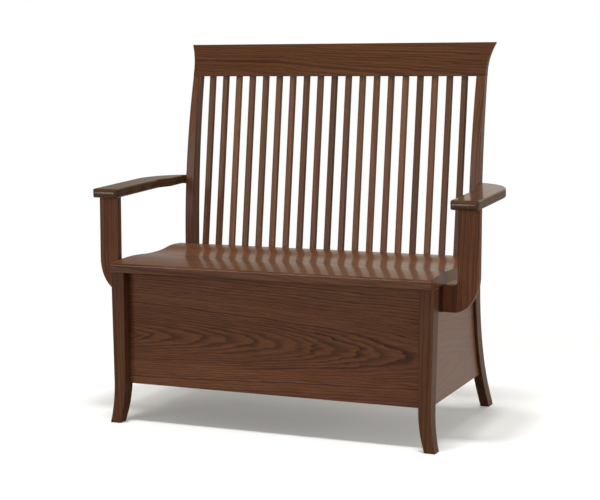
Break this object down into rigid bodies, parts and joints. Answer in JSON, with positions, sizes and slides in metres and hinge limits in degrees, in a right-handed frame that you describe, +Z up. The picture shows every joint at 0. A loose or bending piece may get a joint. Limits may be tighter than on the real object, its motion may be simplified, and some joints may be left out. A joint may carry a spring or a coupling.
{
  "type": "mission settle",
  "caption": "Mission settle: a hinged saddle seat over a storage box, bent arm supports, rising paddle arms, and a leaning spindle back under a bowed crest rail.",
  "frame": {"origin": "on the floor, under the middle of the settle's bounding box", "axes": "+X to the right as seen from the front, +Y to the back, +Z up; left and right in the node names are also as seen from the front"},
  "size_m": [1.16, 0.673, 1.095],
  "materials": {
    "board_oak": "satin lacquer over dark brown stain, open straight and cathedral grain",
    "seat_oak": "satin lacquer over dark brown stain, polished by use",
    "spindle_oak": "satin lacquer over brown stain, upright grain",
    "inside_oak": "plain wood inside the box, lightly sealed",
    "hinge_metal": "aged, dull",
    "screw_metal": "dull zinc"
  },
  "bodies": {
    "frame": {"arm_dowels": "inside_oak", "arm_screws": "screw_metal", "back_cleat": "inside_oak", "back_panel": "board_oak", "back_rail": "board_oak", "bottom_panel": "inside_oak", "crest_rail": "board_oak", "front_cleat": "inside_oak", "front_panel": "board_oak", "hinge_fixed_leaf_1": "hinge_metal", "hinge_fixed_leaf_2": "hinge_metal", "hinge_fixed_leaf_3": "hinge_metal", "hinge_frame_screws": "screw_metal", "hinge_pin_1": "hinge_metal", "hinge_pin_2": "hinge_metal", "hinge_pin_3": "hinge_metal", "left_arm": "board_oak", "left_arm_support": "board_oak", "left_back_corner_block": "inside_oak", "left_back_post": "board_oak", "left_front_corner_block": "inside_oak", "left_front_leg": "board_oak", "left_side_cleat": "inside_oak", "left_side_panel": "board_oak", "right_arm": "board_oak", "right_arm_support": "board_oak", "right_back_corner_block": "inside_oak", "right_back_post": "board_oak", "right_front_corner_block": "inside_oak", "right_front_leg": "board_oak", "right_side_cleat": "inside_oak", "right_side_panel": "board_oak", "spindle_01": "spindle_oak", "spindle_02": "spindle_oak", "spindle_03": "spindle_oak", "spindle_04": "spindle_oak", "spindle_05": "spindle_oak", "spindle_06": "spindle_oak", "spindle_07": "spindle_oak", "spindle_08": "spindle_oak", "spindle_09": "spindle_oak", "spindle_10": "spindle_oak", "spindle_11": "spindle_oak", "spindle_12": "spindle_oak", "spindle_13": "spindle_oak", "spindle_14": "spindle_oak", "spindle_15": "spindle_oak", "spindle_16": "spindle_oak", "spindle_17": "spindle_oak", "spindle_18": "spindle_oak", "spindle_19": "spindle_oak", "support_screws": "screw_metal"},
    "lid": {"seat_lid": "seat_oak", "left_lid_batten": "inside_oak", "right_lid_batten": "inside_oak", "hinge_lid_leaf_1": "hinge_metal", "hinge_lid_leaf_2": "hinge_metal", "hinge_lid_leaf_3": "hinge_metal", "hinge_lid_screws": "screw_metal", "batten_screws": "screw_metal"}
  },
  "joints": [
    {"name": "lid_hinge", "type": "hinge", "parent": "frame", "child": "lid", "pos_m": [0, 0.11495, 0.47599], "axis": [-1, 0, 0], "range_deg": [0, 96]}
  ]
}
